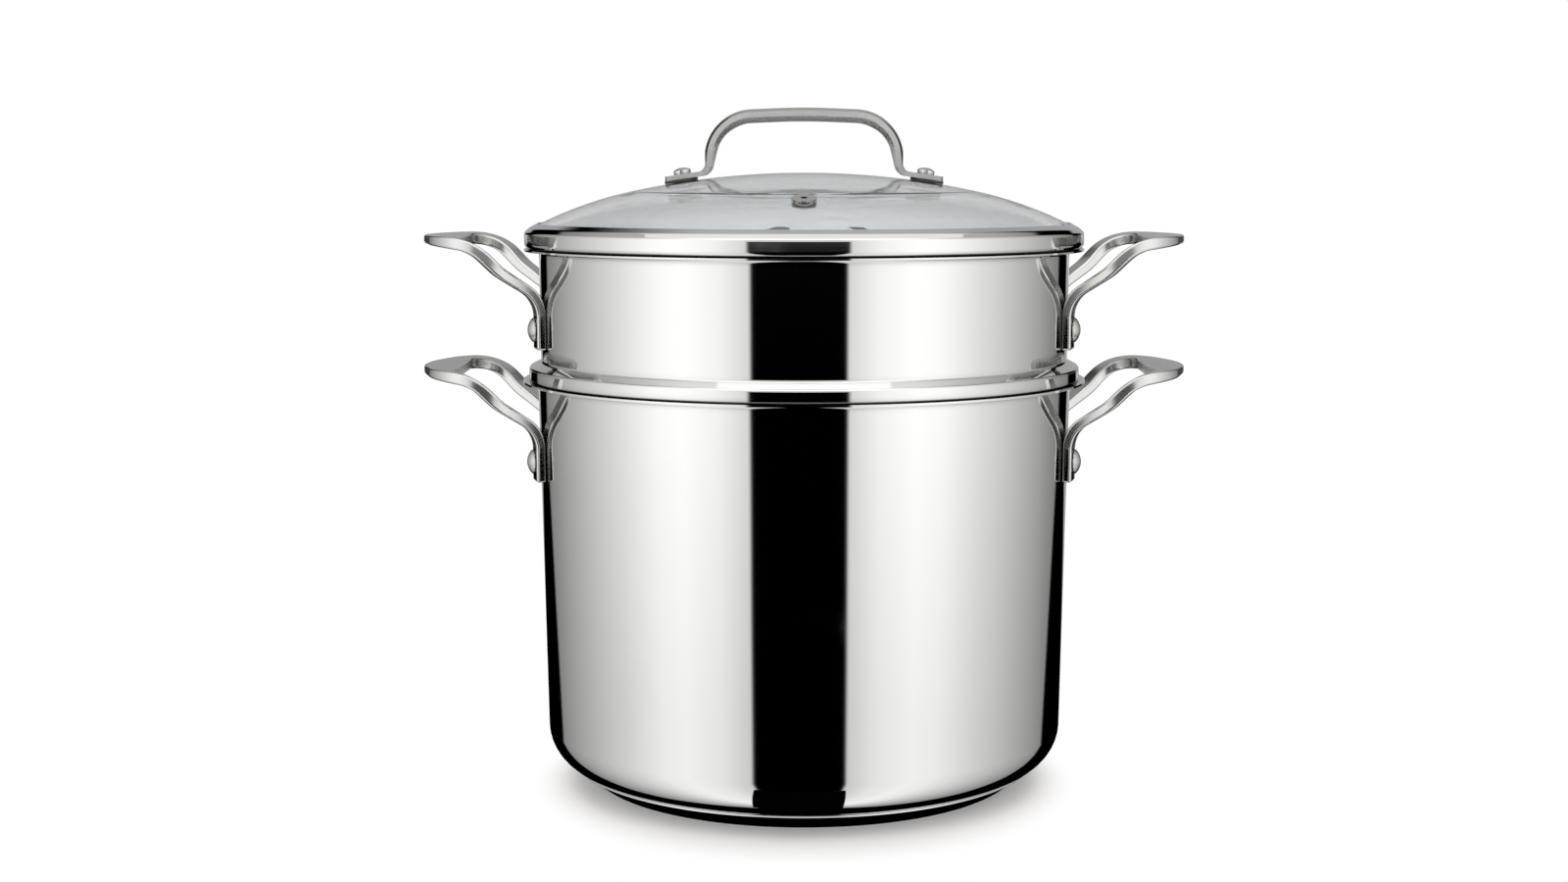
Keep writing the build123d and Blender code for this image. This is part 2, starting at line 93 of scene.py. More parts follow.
class Effect(Enum):
    """The shader effects that several finishes share."""

    SMUDGES = "hand smudges"
    TURNED_GRAIN = "turned grain"
    BRUSHED_GRAIN = "brushed grain"
    SHEET_WAVE = "sheet wave"
    INNER_FACE = "inner face"
    TOP_FACE = "top face"
    EDGE_POLISH = "edge polish"
    SEAM_SHADE = "seam shade"
    TIGHT_BEND = "tight bend"


class Side(Enum):
    """The side of the pot that a handle stands on."""

    LEFT = "left"
    RIGHT = "right"


def link(name: str, data: bpy.types.ID) -> Thing:
    """Puts an object into the scene.

    Args:
        name: The object's name.
        data: Its mesh, lamp or camera data.

    Returns:
        The new object.
    """
    thing = bpy.data.objects.new(name, data)
    bpy.context.scene.collection.objects.link(thing)
    return thing


def full_turn(steps: int) -> list[float]:
    """Cuts a full turn into even steps and gives their angles in radians."""
    return [2.0 * math.pi * step / steps for step in range(steps)]


class Graph:
    """A node tree with short ways to add and join nodes."""

    def __init__(self, tree: bpy.types.NodeTree) -> None:
        """Takes over a tree and empties it."""
        self.tree = tree
        tree.nodes.clear()

    def join(self, source: object, target: Socket) -> None:
        """Feeds a socket from another socket, or sets it to a plain value.

        Args:
            source: An output socket, a number or a tuple.
            target: The input socket to feed.
        """
        if isinstance(source, Socket):
            self.tree.links.new(source, target)
        else:
            target.default_value = source

    def add(self, kind: str, terms: dict[str | int, object] | None = None, **settings: object) -> Node:
        """Adds a node.

        Args:
            kind: The node's type name.
            terms: What feeds its inputs, by their names or numbers.
            settings: Attributes to set on it.

        Returns:
            The new node.
        """
        node = self.tree.nodes.new(kind)
        for name, value in settings.items():
            setattr(node, name, value)
        for place, term in (terms or {}).items():
            self.join(term, node.inputs[place])
        return node

    def math(self, operation: str, *terms: object, clamp: bool = False) -> Socket:
        """Works out a number from others; clamp holds it between 0 and 1."""
        node = self.add("ShaderNodeMath", dict(enumerate(terms)), operation=operation, use_clamp=clamp)
        return node.outputs[0]

    def times(self, first: object, second: object) -> Socket:
        """Multiplies two numbers."""
        return self.math("MULTIPLY", first, second)

    def scaled(self, value: object, scale: object, base: object) -> Socket:
        """Multiplies a number by a scale and adds a base."""
        return self.math("MULTIPLY_ADD", value, scale, base)

    def vector(self, operation: str, *terms: object) -> Socket:
        """Works out a vector from others, or a number for a dot product or a distance."""
        node = self.add("ShaderNodeVectorMath", dict(enumerate(terms)), operation=operation)
        return node.outputs["Value" if operation in ("DOT_PRODUCT", "DISTANCE") else "Vector"]

    def split(self, vector: Socket) -> tuple[Socket, ...]:
        """Takes a vector apart into its three parts."""
        return tuple(self.add("ShaderNodeSeparateXYZ", {0: vector}).outputs)

    def gather(self, *parts: object) -> Socket:
        """Puts a vector together from its three parts."""
        return self.add("ShaderNodeCombineXYZ", dict(enumerate(parts))).outputs[0]

    def spread(self, value: object, low: object, high: object, to_low: float = 0.0,
               to_high: float = 1.0) -> Socket:
        """Maps the range from low to high smoothly onto the one from to_low to to_high."""
        terms = {"Value": value, "From Min": low, "From Max": high, "To Min": to_low, "To Max": to_high}
        return self.add("ShaderNodeMapRange", terms, interpolation_type="SMOOTHSTEP").outputs["Result"]

    def noise(self, place: Socket, scale: object, detail: float, roughness: float = 0.5) -> Socket:
        """Reads a noise at a place; detail is how many octaves it has, roughness how strong they are."""
        terms = {"Vector": place, "Scale": scale, "Detail": detail, "Roughness": roughness}
        return self.add("ShaderNodeTexNoise", terms).outputs["Fac"]

    def blend(self, share: object, first: object, second: object) -> Socket:
        """Mixes two numbers; share is how much of the second is taken."""
        return self.add("ShaderNodeMix", {0: share, 2: first, 3: second}, data_type="FLOAT").outputs[0]

    def tint(self, share: object, first: object, second: object) -> Socket:
        """Mixes two colours; share is how much of the second is taken."""
        first, second = ((*term, 1.0) if isinstance(term, tuple) else term for term in (first, second))
        return self.add("ShaderNodeMix", {0: share, 6: first, 7: second}, data_type="RGBA").outputs[2]

    def spot(self) -> Socket:
        """Gives the shaded point in the piece's own coordinates."""
        return self.add("ShaderNodeTexCoord").outputs["Object"]

    def geometry(self, name: str) -> Socket:
        """Gives one of the surface's own values, such as its normal."""
        return self.add("ShaderNodeNewGeometry").outputs[name]

    def seen(self) -> Socket:
        """Tells the rays that come straight from the camera or through glass."""
        path = self.add("ShaderNodeLightPath")
        return self.math("MAXIMUM", path.outputs["Is Camera Ray"], path.outputs["Is Transmission Ray"])


class Group(Graph):
    """A node group with named number inputs and one output."""

    def __init__(self, effect: Effect, inputs: dict[str, float], output: str, kind: str = "Float") -> None:
        """Makes the group with its sockets.

        Args:
            effect: The effect that names it.
            inputs: The input names with their usual values.
            output: The output's name.
            kind: Float for a mask or height, Vector for a normal.
        """
        tree = bpy.data.node_groups.new(effect.value, "ShaderNodeTree")
        super().__init__(tree)
        for name, value in inputs.items():
            socket = tree.interface.new_socket(name, in_out="INPUT", socket_type="NodeSocketFloat")
            socket.default_value = value
        tree.interface.new_socket(output, in_out="OUTPUT", socket_type="NodeSocket" + kind)
        self.given = self.add("NodeGroupInput").outputs

    def close(self, result: Socket) -> Tree:
        """Feeds the group's output and gives its tree."""
        self.add("NodeGroupOutput", {0: result})
        return self.tree


def make_smudges() -> Tree:
    """Makes the faint patches that hands and a drying cloth leave.

    Returns:
        The effect's tree.
    """
    finer, patch_from, cover_pull, patch_to = 9.0, 0.72, 0.3, 0.8
    group = Group(Effect.SMUDGES, {"Scale": 18.0, "Cover": 0.4}, "Mask")
    scale, spot = group.given["Scale"], group.spot()
    broad = group.noise(spot, scale, detail=3.0)
    fine = group.noise(spot, group.times(scale, finer), detail=4.0, roughness=0.7)
    edge = group.scaled(group.given["Cover"], -cover_pull, patch_from)
    return group.close(group.math("MULTIPLY", group.spread(broad, edge, patch_to), fine, clamp=True))


def make_turned_grain() -> Tree:
    """Makes the fine rings round the vertical axis that a polishing wheel leaves.

    Returns:
        The effect's tree.
    """
    drift = 1.6
    group = Group(Effect.TURNED_GRAIN, {"Fineness": 2500.0}, "Lines")
    fineness = group.given["Fineness"]
    x, y, z = group.split(group.spot())
    reach = group.math("SQRT", group.math("ADD", group.math("POWER", x, 2.0), group.math("POWER", y, 2.0)))
    turn = group.math("SINE", group.math("ARCTAN2", y, x))
    rings = group.gather(group.times(reach, fineness), group.times(z, fineness), group.times(turn, drift))
    return group.close(group.noise(rings, 1.0, detail=3.0, roughness=0.65))


def make_brushed_grain() -> Tree:
    """Makes the short front-to-back strokes that a belt leaves on a handle.

    Returns:
        The effect's tree.
    """
    group = Group(Effect.BRUSHED_GRAIN, {"Fineness": 1800.0, "Stroke": 60.0}, "Lines")
    fineness, stroke = group.given["Fineness"], group.given["Stroke"]
    parts = zip(group.split(group.spot()), (fineness, stroke, fineness))
    strokes = group.gather(*(group.times(part, scale) for part, scale in parts))
    return group.close(group.noise(strokes, 1.0, detail=3.0, roughness=0.6))


def make_sheet_wave() -> Tree:
    """Makes the slow waviness that drawn sheet keeps under its polish.

    Returns:
        The effect's tree.
    """
    upright = (1.0, 1.0, 0.45)
    group = Group(Effect.SHEET_WAVE, {"Scale": 14.0}, "Height")
    slow = group.vector("MULTIPLY", group.spot(), upright)
    return group.close(group.noise(slow, group.given["Scale"], detail=1.0))


def make_inner_face() -> Tree:
    """Makes a mask of the faces that look towards the vertical axis.

    Returns:
        The effect's tree.
    """
    outward, inward = -0.1, -0.3
    group = Group(Effect.INNER_FACE, {}, "Mask")
    out = group.vector("NORMALIZE", group.vector("MULTIPLY", group.spot(), (1.0, 1.0, 0.0)))
    facing = group.vector("DOT_PRODUCT", group.geometry("Normal"), out)
    return group.close(group.spread(facing, outward, inward))


def make_top_face() -> Tree:
    """Makes a mask of the faces that look up.

    Returns:
        The effect's tree.
    """
    fade = 0.2
    group = Group(Effect.TOP_FACE, {"Slope": 0.6}, "Mask")
    slope, rise = group.given["Slope"], group.split(group.geometry("Normal"))[2]
    return group.close(group.spread(rise, slope, group.math("ADD", slope, fade)))


def make_edge_polish() -> Tree:
    """Makes a mask of the edges that handling rubs bright.

    Returns:
        The effect's tree.
    """
    flat = 0.5
    group = Group(Effect.EDGE_POLISH, {"Sharpness": 12.0}, "Mask")
    raised = group.math("SUBTRACT", group.geometry("Pointiness"), flat)
    raised = group.times(raised, group.given["Sharpness"])
    return group.close(group.math("MAXIMUM", raised, 0.0, clamp=True))


def make_seam_shade() -> Tree:
    """Makes a mask of the narrow seams that keep light out, for the painted shade that the steels put in
    them.

    Returns:
        The effect's tree.
    """
    clear, shut = 0.85, 0.3
    group = Group(Effect.SEAM_SHADE, {"Reach": 0.004, "Depth": 0.9}, "Mask")
    # painted shade: the less open space a point has close round it, the darker its seam is painted
    daylight = group.add("ShaderNodeAmbientOcclusion", {"Distance": group.given["Reach"]}, samples=6)
    closed = group.spread(daylight.outputs["AO"], clear, shut)
    return group.close(group.times(closed, group.given["Depth"]))


def make_tight_bend() -> Tree:
    """Makes a normal that follows the face itself where the smoothed one strays, as on tight roundings.

    Returns:
        The effect's tree.
    """
    stray = 0.91
    group = Group(Effect.TIGHT_BEND, {"Agree": 0.965}, "Normal", "Vector")
    smooth, flat = group.geometry("Normal"), group.geometry("True Normal")
    share = group.spread(group.vector("DOT_PRODUCT", smooth, flat), group.given["Agree"], stray)
    mix = group.add("ShaderNodeMix", {0: share, 4: smooth, 5: flat}, data_type="VECTOR")
    return group.close(group.vector("NORMALIZE", mix.outputs[1]))


MAKERS = {
    Effect.SMUDGES: make_smudges,
    Effect.TURNED_GRAIN: make_turned_grain,
    Effect.BRUSHED_GRAIN: make_brushed_grain,
    Effect.SHEET_WAVE: make_sheet_wave,
    Effect.INNER_FACE: make_inner_face,
    Effect.TOP_FACE: make_top_face,
    Effect.EDGE_POLISH: make_edge_polish,
    Effect.SEAM_SHADE: make_seam_shade,
    Effect.TIGHT_BEND: make_tight_bend,
}


@dataclass
class EffectLibrary:
    """Builds each shared effect once and places it in the materials that use it."""

    built: dict[Effect, Tree] = field(default_factory=dict)

    def place(self, graph: Graph, effect: Effect, **values: float) -> Socket:
        """Puts an effect into a material.

        Args:
            graph: The material's graph.
            effect: The effect to place.
            values: Its inputs by name.

        Returns:
            The effect's output.
        """
        if effect not in self.built:
            self.built[effect] = MAKERS[effect]()
        node = graph.add("ShaderNodeGroup", node_tree=self.built[effect])
        for name, value in values.items():
            graph.join(value, node.inputs[name.capitalize()])
        return node.outputs[0]


@dataclass(frozen=True)
class Relief:
    """How far a height stands out of the surface, as a strength and a depth in metres."""

    strength: float
    depth: float


class MaterialGraph(Graph):
    """A material in the making."""

    def __init__(self, name: str) -> None:
        """Makes an empty material.

        Args:
            name: The material's name.
        """
        self.material = bpy.data.materials.new(name)
        self.material.use_nodes = True
        super().__init__(self.material.node_tree)

    def close(self, shader: Node) -> Material:
        """Puts a shader on the surface and gives the material."""
        self.add("ShaderNodeOutputMaterial", {"Surface": shader.outputs[0]})
        return self.material


class Bench(MaterialGraph):
    """A material with a Principled shader in the making, and the shared effects."""

    def __init__(self, name: str, effects: EffectLibrary) -> None:
        """Makes the material with a plain shader.

        Args:
            name: The material's name.
            effects: The shared effects.
        """
        super().__init__(name)
        self.effects = effects
        self.surface = self.add("ShaderNodeBsdfPrincipled")

    def effect(self, effect: Effect, **values: float) -> Socket:
        """Places an effect with the given inputs and gives its output."""
        return self.effects.place(self, effect, **values)

    def feed(self, sockets: dict[str, object]) -> None:
        """Sets or feeds the shader's sockets by name."""
        for name, value in sockets.items():
            self.join(value, self.surface.inputs[name])

    def bump(self, *layers: tuple[Socket, Relief]) -> None:
        """Stacks heights onto the surface's normal, over the true shape of its tight bends.

        Args:
            layers: The height and the relief of each layer.
        """
        normal = self.effect(Effect.TIGHT_BEND)
        for height, relief in layers:
            terms = {"Strength": relief.strength, "Distance": relief.depth,
                     "Height": height, "Normal": normal}
            normal = self.add("ShaderNodeBump", terms).outputs["Normal"]
        self.feed({"Normal": normal})


@dataclass(frozen=True)
class Finish:
    """What every finish has: a name, a place in the record and a colour."""

    name: str
    slot: str
    colour: Colour = (0.8, 0.8, 0.8)

    def material(self, effects: EffectLibrary) -> Material:
        """Makes the material.

        Args:
            effects: The shared effects.

        Returns:
            The finished material.
        """
        bench = Bench(self.name, effects)
        self._paint(bench)
        return bench.close(bench.surface)

    def _paint(self, bench: Bench) -> None:
        """Fills in the material; each finish has its own way."""
        raise NotImplementedError

    def _toned(self, share: float) -> Colour:
        """Gives the finish's colour, darker or lighter by a share."""
        return tuple(share * part for part in self.colour)


@dataclass(frozen=True)
class MirrorSteel(Finish):
    """Steel polished to a mirror outside and left satin inside."""

    colour: Colour = (0.80, 0.80, 0.785)
    touched: Colour = (0.70, 0.70, 0.69)
    inside: Colour = (0.66, 0.66, 0.65)
    # painted shade: the near-black colour painted into seams where little light reaches
    seam: Colour = (0.03, 0.028, 0.025)
    gloss: float = 0.045
    dull: float = 0.16
    satin: float = 0.17
    satin_spread: float = 0.14
    smudge_scale: float = 16.0
    smudge_cover: float = 0.45
    smudge_stain: float = 0.35
    fineness: float = 2600.0
    wave_scale: float = 13.0
    # how far the painted seam shade reaches and how dark it gets
    seam_reach: float = 0.005
    seam_depth: float = 0.92
    wave_relief: Relief = Relief(0.05, 0.002)
    line_relief: Relief = Relief(0.01, 0.0001)

    def _paint(self, bench: Bench) -> None:
        """Fills in the material.

        Args:
            bench: The material in the making.
        """
        smudge = bench.effect(Effect.SMUDGES, scale=self.smudge_scale, cover=self.smudge_cover)
        inner = bench.effect(Effect.INNER_FACE)
        lines = bench.effect(Effect.TURNED_GRAIN, fineness=self.fineness)
        wave = bench.effect(Effect.SHEET_WAVE, scale=self.wave_scale)
        # painted shade: the mask of closed-in seams
        seam = bench.effect(Effect.SEAM_SHADE, reach=self.seam_reach, depth=self.seam_depth)
        outer = bench.blend(smudge, self.gloss, self.dull)
        inside = bench.scaled(lines, self.satin_spread, self.satin)
        stain = bench.times(smudge, self.smudge_stain)
        steel = bench.tint(inner, bench.tint(stain, self.colour, self.touched), self.inside)
        # the colour carries the hand smudges and the painted seam shade
        bench.feed({"Metallic": 1.0, "Roughness": bench.blend(inner, outer, inside),
                    "Base Color": bench.tint(seam, steel, self.seam)})
        bench.bump((wave, self.wave_relief), (lines, self.line_relief))


@dataclass(frozen=True)
class SatinSteel(Finish):
    """Steel with fine rings left by turning, as on the base and the steaming floor."""

    colour: Colour = (0.68, 0.68, 0.67)
    gloss: float = 0.14
    grain_spread: float = 0.16
    smudge_spread: float = 0.12
    edge_gloss: float = 0.12
    shade: float = 0.86
    fineness: float = 1700.0
    smudge_scale: float = 22.0
    smudge_cover: float = 0.6
    relief: Relief = Relief(0.25, 0.0001)

    def _paint(self, bench: Bench) -> None:
        """Fills in the material.

        Args:
            bench: The material in the making.
        """
        lines = bench.effect(Effect.TURNED_GRAIN, fineness=self.fineness)
        smudge = bench.effect(Effect.SMUDGES, scale=self.smudge_scale, cover=self.smudge_cover)
        edge = bench.effect(Effect.EDGE_POLISH)
        rough = bench.scaled(lines, self.grain_spread, self.gloss)
        rough = bench.scaled(smudge, self.smudge_spread, rough)
        bench.feed({"Metallic": 1.0, "Roughness": bench.blend(edge, rough, self.edge_gloss),
                    "Base Color": bench.tint(lines, self.colour, self._toned(self.shade))})
        bench.bump((lines, self.relief))


@dataclass(frozen=True)
class HandleSteel(Finish):
    """Formed steel, polished on its sides and satin where the hand rests."""

    colour: Colour = (0.70, 0.695, 0.675)
    # painted shade: the near-black colour painted into seams where little light reaches
    seam: Colour = (0.035, 0.032, 0.028)
    gloss: float = 0.24
    satin: float = 0.26
    satin_spread: float = 0.2
    smudge_spread: float = 0.14
    edge_gloss: float = 0.08
    shade: float = 0.88
    top_slope: float = 0.72
    fineness: float = 5200.0
    stroke: float = 320.0
    smudge_scale: float = 60.0
    smudge_cover: float = 0.7
    # how far the painted seam shade reaches and how dark it gets
    seam_reach: float = 0.003
    seam_depth: float = 0.85
    relief: Relief = Relief(0.06, 0.00003)

    def _paint(self, bench: Bench) -> None:
        """Fills in the material.

        Args:
            bench: The material in the making.
        """
        top = bench.effect(Effect.TOP_FACE, slope=self.top_slope)
        lines = bench.effect(Effect.BRUSHED_GRAIN, fineness=self.fineness, stroke=self.stroke)
        smudge = bench.effect(Effect.SMUDGES, scale=self.smudge_scale, cover=self.smudge_cover)
        edge = bench.effect(Effect.EDGE_POLISH)
        # painted shade: the mask of closed-in seams
        seam = bench.effect(Effect.SEAM_SHADE, reach=self.seam_reach, depth=self.seam_depth)
        satin = bench.scaled(lines, self.satin_spread, self.satin)
        rough = bench.scaled(smudge, self.smudge_spread, bench.blend(top, self.gloss, satin))
        steel = bench.tint(bench.times(lines, top), self.colour, self._toned(self.shade))
        # the colour carries the grain and the painted seam shade
        bench.feed({"Metallic": 1.0, "Roughness": bench.blend(edge, rough, self.edge_gloss),
                    "Base Color": bench.tint(seam, steel, self.seam)})
        bench.bump((lines, self.relief))


@dataclass(frozen=True)
class CastAluminium(Finish):
    """The heat-spreading core between the pot and its base cap."""

    colour: Colour = (0.78, 0.785, 0.79)
    gloss: float = 0.3
    grain_spread: float = 0.2
    shade: float = 0.85
    fineness: float = 900.0
    relief: Relief = Relief(0.3, 0.0002)

    def _paint(self, bench: Bench) -> None:
        """Fills in the material.

        Args:
            bench: The material in the making.
        """
        lines = bench.effect(Effect.TURNED_GRAIN, fineness=self.fineness)
        bench.feed({"Metallic": 1.0, "Roughness": bench.scaled(lines, self.grain_spread, self.gloss),
                    "Base Color": bench.tint(lines, self.colour, self._toned(self.shade))})
        bench.bump((lines, self.relief))


@dataclass(frozen=True)
class TemperedGlass(Finish):
    """Clear pressed glass with a cool tint and the odd dried drop."""

    colour: Colour = (0.86, 0.885, 0.893)
    bend: float = 1.5
    film: float = 0.94
    smudge_scale: float = 30.0
    smudge_cover: float = 0.3
    smudge_spread: float = 0.1
    wave_scale: float = 9.0
    relief: Relief = Relief(0.03, 0.002)

    def _paint(self, bench: Bench) -> None:
        """Fills in the material.

        Args:
            bench: The material in the making.
        """
        smudge = bench.effect(Effect.SMUDGES, scale=self.smudge_scale, cover=self.smudge_cover)
        wave = bench.effect(Effect.SHEET_WAVE, scale=self.wave_scale)
        outside = bench.math("SUBTRACT", 1.0, bench.geometry("Backfacing"))
        bench.feed({"Transmission Weight": 1.0, "IOR": self.bend,
                    "Roughness": bench.times(smudge, self.smudge_spread),
                    "Base Color": bench.tint(smudge, self.colour, self._toned(self.film))})
        bench.bump((bench.times(wave, outside), self.relief))


@dataclass(frozen=True)
class Silicone(Finish):
    """The soft pads that keep the steel off the glass."""

    colour: Colour = (0.045, 0.045, 0.047)
    gloss: float = 0.45
    dust_spread: float = 0.2
    dust_scale: float = 120.0
    dust_cover: float = 0.8
    dust_tone: float = 1.25
    soft_weight: float = 0.2
    soft_depth: float = 0.001
    relief: Relief = Relief(0.2, 0.0001)

    def _paint(self, bench: Bench) -> None:
        """Fills in the material.

        Args:
            bench: The material in the making.
        """
        dust = bench.effect(Effect.SMUDGES, scale=self.dust_scale, cover=self.dust_cover)
        bench.feed({"Subsurface Weight": self.soft_weight, "Subsurface Scale": self.soft_depth,
                    "Roughness": bench.scaled(dust, self.dust_spread, self.gloss),
                    "Base Color": bench.tint(dust, self.colour, self._toned(self.dust_tone))})
        bench.bump((dust, self.relief))


@dataclass(frozen=True)
class Span:
    """One short run of a section, with the way that its surface faces at both ends."""

    start: Vector
    end: Vector
    start_face: Vector
    end_face: Vector


class Section:
    """A section in millimetres, radius first and height second, with rounded corners."""

    arc_step = math.radians(9.0)

    def __init__(self, corners: list[Point], radii: list[float], closed: bool = False) -> None:
        """Rounds the corners and cuts the section into spans.

        Args:
            corners: The sharp corners in order, with the solid on their left.
            radii: A rounding for each corner, or for each but the two ends of an open section.
            closed: Whether the last corner joins the first.
        """
        self.spans: list[Span] = []
        points = [Vector(corner) for corner in corners]
        neighbours = zip([points[-1], *points], points, [*points[1:], points[0]])
        sizes = radii if closed else [0.0, *radii, 0.0]
        arcs = [self._arc(*three, size) for three, size in zip(neighbours, sizes)]
        if closed:
            arcs.append(arcs[0])
        for arc, following in zip(arcs, arcs[1:]):
            for (start, face), (end, next_face) in zip(arc, arc[1:]):
                self.spans.append(Span(start, end, face, next_face))
            leave, arrive = arc[-1][0], following[0][0]
            if (arrive - leave).length > TINY:
                self.spans.append(self._flat(leave, arrive))

    @staticmethod
    def _flat(start: Vector, end: Vector) -> Span:
        """Makes a straight span, which faces to the right of its way.

        Args:
            start: Where it starts.
            end: Where it ends.

        Returns:
            The span.
        """
        way = (end - start).normalized()
        face = Vector((way.y, -way.x))
        return Span(start, end, face, face)

    def _arc(self, before: Vector, corner: Vector, after: Vector,
             radius: float) -> list[tuple[Vector, Vector | None]]:
        """Rounds one corner.

        Args:
            before: The corner before it.
            corner: The corner itself.
            after: The corner after it.
            radius: The rounding, 0 for a sharp corner.

        Returns:
            Points along the rounding, each with the way its surface faces.
        """
        if radius <= 0.0:
            return [(corner, None)]
        back, on = (before - corner).normalized(), (after - corner).normalized()
        half = back.angle(on) / 2.0
        middle = corner + (back + on).normalized() * (radius / math.sin(half))
        start = corner + back * (radius / math.tan(half)) - middle
        side = -1.0 if back.cross(on) > 0.0 else 1.0
        turn = (math.pi - 2.0 * half) * side
        steps = max(2, math.ceil(abs(turn) / self.arc_step))
        points = []
        for step in range(steps + 1):
            angle = turn * step / steps
            arm = Vector((start.x * math.cos(angle) - start.y * math.sin(angle),
                          start.x * math.sin(angle) + start.y * math.cos(angle)))
            points.append((middle + arm, arm.normalized() * side))
        return points

    def thickened(self, sheet: float) -> list[Span]:
        """Gives an open section a thickness on its left and closes its free ends.

        Args:
            sheet: The thickness.

        Returns:
            The spans of the outside, the ends and the inside.
        """
        inside = [Span(span.end - sheet * span.end_face, span.start - sheet * span.start_face,
                       -span.end_face, -span.start_face) for span in reversed(self.spans)]
        spans = self.spans + [self._flat(self.spans[-1].end, inside[0].start)] + inside
        if self.spans[0].start.x > TINY:
            spans.append(self._flat(inside[-1].end, self.spans[0].start))
        return spans


@dataclass(frozen=True)
class Lathe:
    """Turns sections round the vertical axis into smooth closed meshes."""

    steps: int = 256

    def turn(self, name: str, spans: list[Span]) -> Thing:
        """Makes a piece.

        Args:
            name: The piece's name.
            spans: Its section, from the axis to the axis or closed.

        Returns:
            The new object, linked into the scene.
        """
        ways = [(math.cos(turn), math.sin(turn)) for turn in full_turn(self.steps)]
        points, rings = self._rings(spans, ways)
        faces, normals = [], []
        for number, span in enumerate(spans):
            low, high = rings[number], rings[(number + 1) % len(rings)]
            for step in range(self.steps):
                then = (step + 1) % self.steps
                ring = [(low[step], span.start_face, step), (low[then], span.start_face, then),
                        (high[then], span.end_face, then), (high[step], span.end_face, step)]
                if low[step] == low[then]:
                    ring.pop(1)
                if high[step] == high[then]:
                    ring.pop()
                faces.append([point for point, _, _ in ring])
                normals += [(face.x * ways[way][0], face.x * ways[way][1], face.y) for _, face, way in ring]
        mesh = bpy.data.meshes.new(name)
        mesh.from_pydata(points, [], faces)
        mesh.polygons.foreach_set("use_smooth", [True] * len(faces))
        mesh.normals_split_custom_set(normals)
        return link(name, mesh)

    def _rings(self, spans: list[Span], ways: list[Point]) -> tuple[list[Place], list[list[int]]]:
        """Places a ring of points for each end of a span, or one point on the axis.

        Args:
            spans: The section.
            ways: The directions round the axis.

        Returns:
            The points in metres, and the numbers of each ring's points.
        """
        points, rings = [], []
        ends = [span.start for span in spans]
        if (spans[-1].end - spans[0].start).length >= TINY:
            ends.append(spans[-1].end)
        for end in ends:
            first = len(points)
            if end.x < TINY:
                points.append((0.0, 0.0, end.y * MM))
                rings.append([first] * self.steps)
            else:
                points += [(end.x * MM * x, end.x * MM * y, end.y * MM) for x, y in ways]
                rings.append(list(range(first, first + self.steps)))
        return points, rings


class Workshop:
    """Hands finished materials to the pieces that take them."""

    def __init__(self, frame: dict) -> None:
        """Keeps the frame and makes the finishes.
        """
        self.nodes: dict[str, Thing] = frame["nodes"]
        self.lathe = Lathe()
        self.effects = EffectLibrary()
        self.slots: dict[str, str] = {}
        self.mirror = self._make(MirrorSteel("mirror_steel", "polished_steel"))
        self.satin = self._make(SatinSteel("satin_steel_rings", "satin_steel"))
        self.base = self._make(SatinSteel("base_steel", "satin_steel", (0.72, 0.72, 0.71), gloss=0.04))
        self.handle = self._make(HandleSteel("handle_steel_satin", "handle_steel"))
        self.core = self._make(CastAluminium("core_aluminium", "aluminium_core"))
        self.glass = self._make(TemperedGlass("lid_glass_clear", "tempered_glass"))
        self.pad = self._make(Silicone("pad_silicone", "silicone"))

    def _make(self, finish: Finish) -> Material:
        """Makes a finish's material and notes its slot."""
        self.slots[finish.name] = finish.slot
        return finish.material(self.effects)

    def dress(self, node: str, material: Material) -> None:
        """Puts a material on a piece of the frame and reports it.

        Args:
            node: The piece's name.
            material: The material it gets.
        """
        slots = self.nodes[node].data.materials
        slots.clear()
        slots.append(material)
        LOG.info("%s: %s", node, material.name)

    def add_turned(self, name: str, body: Body, spans: list[Span], material: Material) -> Thing:
        """Turns a new piece and lets it ride on its body.

        Args:
            name: The piece's name.
            body: The body it moves with.
            spans: Its section.
            material: The material it gets.

        Returns:
            The new piece.
        """
        piece = self.lathe.turn(name, spans)
        piece.data.materials.append(material)
        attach(piece, body.value)
        LOG.info("%s: %s", name, material.name)
        return piece

    def stand_in(self, node: str, body: Body, spans: list[Span], material: Material) -> None:
        """Turns a smooth piece that takes the place of a turned piece of the frame.

        Args:
            node: The piece of the frame.
            body: The body it moves with.
            spans: Its section.
            material: The material it gets.
        """
        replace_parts(self.add_turned(f"{node}_turned", body, spans, material), node)


@dataclass
class HandlePair:
    """The two loop handles of the pot or the insert, with their rivets."""

    owner: Body

    def dress(self, shop: Workshop) -> None:
        """Dresses both sides.

        Args:
            shop: The materials.
        """
        for side in Side:
            shop.dress(f"{self.owner.value}_handle_{side.value}", shop.handle)
            shop.dress(f"{self.owner.value}_rivets_{side.value}", shop.handle)


